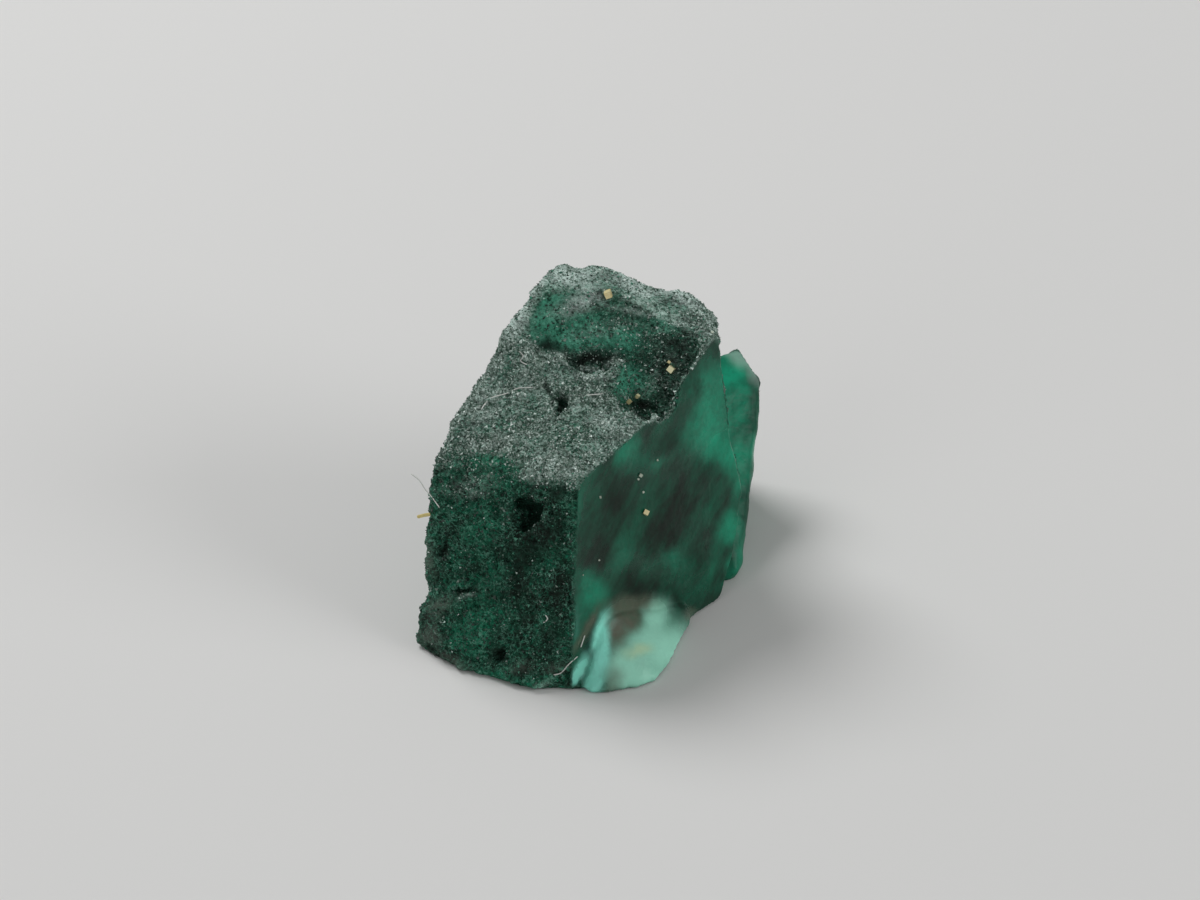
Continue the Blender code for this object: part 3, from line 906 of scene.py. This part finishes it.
class Paint:
    """Short calls that build one material's nodes."""

    def __init__(self, name):
        self.material = bpy.data.materials.new(name)
        self.material.use_nodes = True
        self.nodes = self.material.node_tree.nodes
        self.links = self.material.node_tree.links
        self.shader = self.nodes["Principled BSDF"]
        place = self.nodes.new("ShaderNodeTexCoord").outputs["Object"]
        self.place = self.scaled(place, (1 / MM, 1 / MM, 1 / MM))

    def scaled(self, vector, factors):
        node = self.nodes.new("ShaderNodeVectorMath")
        node.operation = "MULTIPLY"
        self.links.new(vector, node.inputs[0])
        node.inputs[1].default_value = factors
        return node.outputs["Vector"]

    def turned(self, rotation, stretch):
        """The place in axes turned by rotation, with lengths multiplied by stretch."""
        node = self.nodes.new("ShaderNodeMapping")
        node.vector_type = "TEXTURE"
        node.inputs["Rotation"].default_value = rotation
        self.links.new(self.place, node.inputs["Vector"])
        return self.scaled(node.outputs["Vector"], stretch)

    def noise(self, per_mm, detail, roughness, place=None):
        node = self.nodes.new("ShaderNodeTexNoise")
        node.inputs["Scale"].default_value = per_mm
        node.inputs["Detail"].default_value = detail
        node.inputs["Roughness"].default_value = roughness
        self.links.new(place or self.place, node.inputs["Vector"])
        return node.outputs["Fac"]

    def share(self, value, low, high, at_low=0.0, at_high=1.0):
        """A value's smooth step from at_low, where it is low, to at_high, where it is high."""
        node = self.nodes.new("ShaderNodeMapRange")
        node.interpolation_type = "SMOOTHSTEP"
        self.plug(value, node.inputs["Value"])
        node.inputs["From Min"].default_value = low
        node.inputs["From Max"].default_value = high
        node.inputs["To Min"].default_value = at_low
        node.inputs["To Max"].default_value = at_high
        return node.outputs["Result"]

    def math(self, operation, first, second):
        node = self.nodes.new("ShaderNodeMath")
        node.operation = operation
        node.use_clamp = True
        self.plug(first, node.inputs[0])
        self.plug(second, node.inputs[1])
        return node.outputs["Value"]

    def mix(self, share, first, second):
        node = self.nodes.new("ShaderNodeMix")
        node.data_type = "RGBA"
        self.plug(share, node.inputs["Factor"])
        self.plug(first, node.inputs[MIX_FIRST])
        self.plug(second, node.inputs[MIX_SECOND])
        return node.outputs[MIX_RESULT]

    def attribute(self, name):
        node = self.nodes.new("ShaderNodeAttribute")
        node.attribute_name = name
        return node.outputs["Fac"]

    def bump(self, height, depth):
        node = self.nodes.new("ShaderNodeBump")
        node.inputs["Distance"].default_value = depth * MM
        node.inputs["Strength"].default_value = 1.0
        self.links.new(height, node.inputs["Height"])
        self.links.new(node.outputs["Normal"], self.shader.inputs["Normal"])

    def plug(self, value, socket):
        """Link a socket to another's value, or give it a colour or a number."""
        if isinstance(value, bpy.types.NodeSocket):
            self.links.new(value, socket)
        elif isinstance(value, tuple):
            socket.default_value = (*value, 1.0)
        else:
            socket.default_value = value

    def set(self, name, value):
        self.plug(value, self.shader.inputs[name])


def crust_colour(paint, crust_parts):
    """Black and green blotches with fine wisps, greyer and frosted on top, and their relief, with
    painted shade in pits and behind the ledge, painted light in the recess and painted highlights
    on rims and edges.
    """
    top, recess, green_and_painted_glow, charcoal_and_shade, frost_and_highlight, edge, grey_and_rim_light = crust_parts
    blotches = paint.noise(1.8, 5.0, 0.6)
    speckle = paint.noise(14.0, 5.0, 0.7)
    grit = paint.noise(30.0, 3.0, 0.7, paint.turned((0.0, 0.0, 0.0), GRIT_STRETCH))
    patches = paint.noise(2.6, 3.0, 0.6)
    mottle = paint.noise(6.0, 4.0, 0.65)
    curls = paint.noise(9.0, 3.0, 0.6)
    wisps = paint.math("MULTIPLY", paint.share(curls, 0.460, 0.50), paint.share(curls, 0.540, 0.50))
    colour = paint.mix(paint.share(blotches, 0.42, 0.58), DEEP_GREEN, MID_GREEN)
    # Richer green on green patches, and as painted light in the recess and painted glints
    lit = paint.math("MULTIPLY", green_and_painted_glow, paint.share(mottle, 0.35, 0.60, 0.45, 1.0))
    colour = paint.mix(lit, colour, RICH_GREEN)
    colour = paint.mix(paint.share(speckle, 0.52, 0.72, 0.0, 0.45), colour, TEAL_GREEN)
    colour = paint.mix(paint.share(speckle, 0.50, 0.34, 0.0, 0.85), colour, BLACK_GREEN)
    colour = paint.mix(paint.share(grit, 0.52, 0.70, 0.0, 0.35), colour, WISP_GREEN)
    colour = paint.mix(paint.share(grit, 0.50, 0.32, 0.0, 0.7), colour, BLACK_GREEN)
    wisps = paint.math("MULTIPLY", wisps, paint.share(mottle, 0.40, 0.60, 0.15, 0.8))
    colour = paint.mix(wisps, colour, WISP_GREEN)
    # Greyish patches, partly painted rim light along the left silhouette
    colour = paint.mix(paint.math("MULTIPLY", grey_and_rim_light, 0.7), colour, GREY)
    # Lit green painted into the recess as painted light
    painted_recess_light = paint.math("MULTIPLY", paint.math("MULTIPLY", recess, green_and_painted_glow), 0.75)
    painted_recess_light = paint.math("MULTIPLY", painted_recess_light, paint.share(mottle, 0.35, 0.60, 0.5, 1.0))
    colour = paint.mix(painted_recess_light, colour, LIT_GREEN)
    dust_and_rim_light = paint.math("MULTIPLY", top, paint.share(recess, 0.0, 1.0, 0.80, 0.20))
    dust_and_rim_light = paint.math("MULTIPLY", dust_and_rim_light, paint.share(patches, 0.40, 0.56, 0.25, 1.0))
    dust_and_rim_light = paint.math("MULTIPLY", dust_and_rim_light, paint.share(green_and_painted_glow, 0.0, 1.0, 1.0, 0.10))
    # Bulging edges painted paler as painted rim light
    dust_and_rim_light = paint.math("ADD", dust_and_rim_light, paint.math("MULTIPLY", edge, 0.3))
    dust_and_rim_light = paint.math("MULTIPLY", dust_and_rim_light, paint.share(grit, 0.40, 0.58, 0.08, 0.90))
    colour = paint.mix(dust_and_rim_light, colour, PALE_FROST_AND_HIGHLIGHT)
    # Near-white on frosted patches and as painted highlights on rims
    rime = paint.math("MULTIPLY", frost_and_highlight, paint.share(mottle, 0.34, 0.56, 0.35, 1.0))
    rime = paint.math("MULTIPLY", rime, paint.share(grit, 0.36, 0.54, 0.45, 1.0))
    colour = paint.mix(rime, colour, RIME_AND_HIGHLIGHT)
    relief = paint.math("MULTIPLY", speckle, 0.5)
    relief = paint.math("ADD", relief, paint.math("MULTIPLY", grit, 0.5))
    # Black-green on black inclusions, and as painted shade in the pits and behind the ledge
    return paint.mix(charcoal_and_shade, colour, BLACK_GREEN), relief


def glass_colour(paint, glass_parts):
    """Green and teal streaks and black clouds, teal painted as light shining through, with a
    brown-stained foot painted pale green and blue-green as light shining through it.
    """
    green_and_painted_glow, charcoal_and_shade, frost_and_highlight, painted_mint_glow, painted_turquoise_glow, brown, straw = glass_parts
    streaks = paint.noise(1.3, 5.0, 0.65, paint.turned(STREAK_TURN, STREAK_STRETCH))
    mottle = paint.noise(5.0, 5.0, 0.70)
    clear = paint.mix(paint.share(streaks, 0.28, 0.72), DEEP_GREEN, GLASS_GREEN)
    # Teal painted as light shining through the glass
    lit = paint.math("MULTIPLY", green_and_painted_glow, paint.share(mottle, 0.35, 0.62, 0.60, 0.95))
    clear = paint.mix(lit, clear, TEAL_GREEN)
    dark = paint.math("MULTIPLY", charcoal_and_shade, paint.share(streaks, 0.30, 0.70, 1.0, 0.75))
    dark = paint.math("MULTIPLY", dark, paint.share(mottle, 0.38, 0.64, 1.0, 0.78))
    clear = paint.mix(dark, clear, CHARCOAL)
    # The foot painted pale green and blue-green as light shining through it
    clear = paint.mix(painted_mint_glow, clear, MINT_GLOW)
    clear = paint.mix(painted_turquoise_glow, clear, TURQUOISE_GLOW)
    stain = paint.math("MULTIPLY", brown, paint.share(mottle, 0.35, 0.62, 1.0, 0.75))
    clear = paint.mix(stain, clear, BROWN)
    clear = paint.mix(straw, clear, STRAW_GREEN)
    # Frosted pale and painted highlight on the glassy shoulder's rim
    return paint.mix(frost_and_highlight, clear, PALE_FROST_AND_HIGHLIGHT)


def emerald_material():
    """Green glass under a dark crust, frosted on top, with black clouds, painted shade, painted
    light and highlights, and a foot painted pale green as light shining through it.
    """
    paint = Paint("emerald")
    glass = paint.math("ADD", paint.attribute("glass"), paint.attribute("scar"))
    shoulder, top, recess = (paint.attribute(name) for name in ("shoulder", "top", "recess"))
    charcoal_and_shade, green_and_painted_glow, frost_and_highlight = (paint.attribute(name) for name in ("charcoal_and_shade", "green_and_painted_glow", "frost_and_highlight"))
    painted_mint_glow, painted_turquoise_glow, brown = (paint.attribute(name) for name in ("painted_mint_glow", "painted_turquoise_glow", "brown"))
    edge, grey_and_rim_light, straw = (paint.attribute(name) for name in ("edge", "grey_and_rim_light", "straw"))
    crust, relief = crust_colour(paint, (top, recess, green_and_painted_glow, charcoal_and_shade, frost_and_highlight, edge, grey_and_rim_light))
    clear = glass_colour(paint, (green_and_painted_glow, charcoal_and_shade, frost_and_highlight, painted_mint_glow, painted_turquoise_glow, brown, straw))
    paint.set("Base Color", paint.mix(glass, crust, clear))

    # Where light through the foot is painted, and where it is brown, the stone is less see-through
    # and rougher
    painted_glow_and_brown = paint.math("ADD", paint.math("ADD", painted_mint_glow, painted_turquoise_glow), brown)
    see_through = paint.math("MULTIPLY", glass, paint.share(charcoal_and_shade, 0.0, 1.0, 0.40, 0.05))
    see_through = paint.math("MULTIPLY", see_through, paint.share(shoulder, 0.0, 1.0, 1.0, 0.5))
    see_through = paint.math("MULTIPLY", see_through, paint.share(painted_glow_and_brown, 0.0, 1.0, 1.0, 0.2))
    # The plain value says that the stone is see-through where the link isn't read
    paint.set("Transmission Weight", 0.5)
    paint.set("Transmission Weight", see_through)
    gloss = paint.share(glass, 0.2, 0.8, 0.55, 0.12)
    gloss = paint.math("ADD", gloss, paint.math("MULTIPLY", shoulder, 0.30))
    paint.set("Roughness", paint.math("ADD", gloss, paint.math("MULTIPLY", painted_glow_and_brown, 0.25)))
    paint.set("IOR", EMERALD_IOR)
    paint.set("Specular IOR Level", 0.10)
    paint.bump(paint.math("MULTIPLY", relief, paint.share(glass, 0.2, 0.8, 1.0, 0.0)), CRUST_BUMP)
    absorb = paint.nodes.new("ShaderNodeVolumeAbsorption")
    absorb.inputs["Color"].default_value = (*ABSORBED_TO, 1.0)
    absorb.inputs["Density"].default_value = ABSORPTION_PER_METRE
    output = paint.nodes["Material Output"]
    paint.links.new(absorb.outputs["Volume"], output.inputs["Volume"])
    return paint.material


def grain_material(name, colours, roughness):
    paint = Paint(name)
    dark, light = colours
    tone = paint.attribute("tone")
    worn = paint.noise(60.0, 2.0, 0.5)
    colour = paint.mix(paint.math("POWER", tone, TONE_POWER), dark, light)
    paint.set("Base Color", paint.mix(paint.share(worn, 0.35, 0.65, 0.0, 0.35), colour, dark))
    paint.set("Roughness", roughness)
    paint.set("IOR", EMERALD_IOR)
    return paint.material


def golden_material():
    paint = Paint("golden_crystal")
    tarnish = paint.share(paint.attribute("tone"), 0.2, 0.9)
    tarnish = paint.math("MULTIPLY", tarnish, paint.noise(30.0, 3.0, 0.6))
    paint.set("Base Color", paint.mix(tarnish, *GOLDEN_COLOURS))
    paint.set("Metallic", 0.20)
    paint.set("Roughness", 0.25)
    return paint.material


def fibre_material(name, colours, roughness):
    paint = Paint(name)
    wear = paint.noise(40.0, 2.0, 0.5)
    paint.set("Base Color", paint.mix(wear, *colours))
    paint.set("Roughness", roughness)
    return paint.material


def make_floor():
    mesh = bpy.data.meshes.new("floor")
    corners = [(x * FLOOR_HALF_WIDTH, y * FLOOR_HALF_WIDTH, FLOOR_HEIGHT) for x, y in SQUARE]
    mesh.from_pydata(corners, [], [(0, 1, 2, 3)])
    floor = mesh_object("floor", mesh)
    material = bpy.data.materials.new("pale_floor")
    material.use_nodes = True
    shader = material.node_tree.nodes["Principled BSDF"]
    shader.inputs["Base Color"].default_value = (*FLOOR_COLOUR, 1)
    shader.inputs["Roughness"].default_value = 0.9
    mesh.materials.append(material)


def area_light(name, place, size, power):
    data = bpy.data.lights.new(name, "AREA")
    data.shape = "DISK"
    data.size = size
    data.energy = power
    light = bpy.data.objects.new(name, data)
    light.location = place
    light.rotation_euler = Vector(place).to_track_quat("Z", "Y").to_euler()
    bpy.context.scene.collection.objects.link(light)


def make_lights():
    for name, (place, size, power) in LIGHTS.items():
        area_light(name, place, size, power)
    world = bpy.data.worlds.new("studio")
    world.use_nodes = True
    background = world.node_tree.nodes["Background"]
    background.inputs["Color"].default_value = (1.0, 1.0, 1.0, 1)
    background.inputs["Strength"].default_value = SKY_STRENGTH
    bpy.context.scene.world = world
    bpy.context.scene.view_settings.view_transform = "Standard"


def finish_piece(piece, material):
    """Give a piece its material and move it from the stone's own frame to the row frame."""
    piece.data.materials.clear()
    piece.data.materials.append(material)
    piece.data.transform(TO_ROW)
    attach(piece, "root")


make_camera()
make_floor()
make_lights()
skin = crystal_skin()
tree = BVHTree.FromObject(skin, bpy.context.evaluated_depsgraph_get())
random = np.random.default_rng(SPECK_SEED)
pale, green = crust_grains(skin)
pale_specks = specks("pale_specks", tree, PALE_SPECKS, random)
golden_specks = specks("golden_specks", tree, GOLDEN_SPECKS, random)
lint = threads("lint", tree, FIBRES, FIBRE_WIDTH)
straw_flake = threads("straw_flake", tree, [STRAW_ROUTE], STRAW_WIDTH)
finish_piece(pale, grain_material("pale_grain", PALE_CHIP_COLOURS, 0.3))
finish_piece(green, grain_material("green_grain", GREEN_CHIP_COLOURS, 0.3))
finish_piece(pale_specks, grain_material("pale_speck", PALE_SPECK_COLOURS, 0.4))
finish_piece(golden_specks, golden_material())
finish_piece(lint, fibre_material("lint", LINT_COLOURS, 0.6))
finish_piece(straw_flake, fibre_material("straw_flake", STRAW_COLOURS, 0.5))
finish_piece(skin, emerald_material())
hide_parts(NODE)
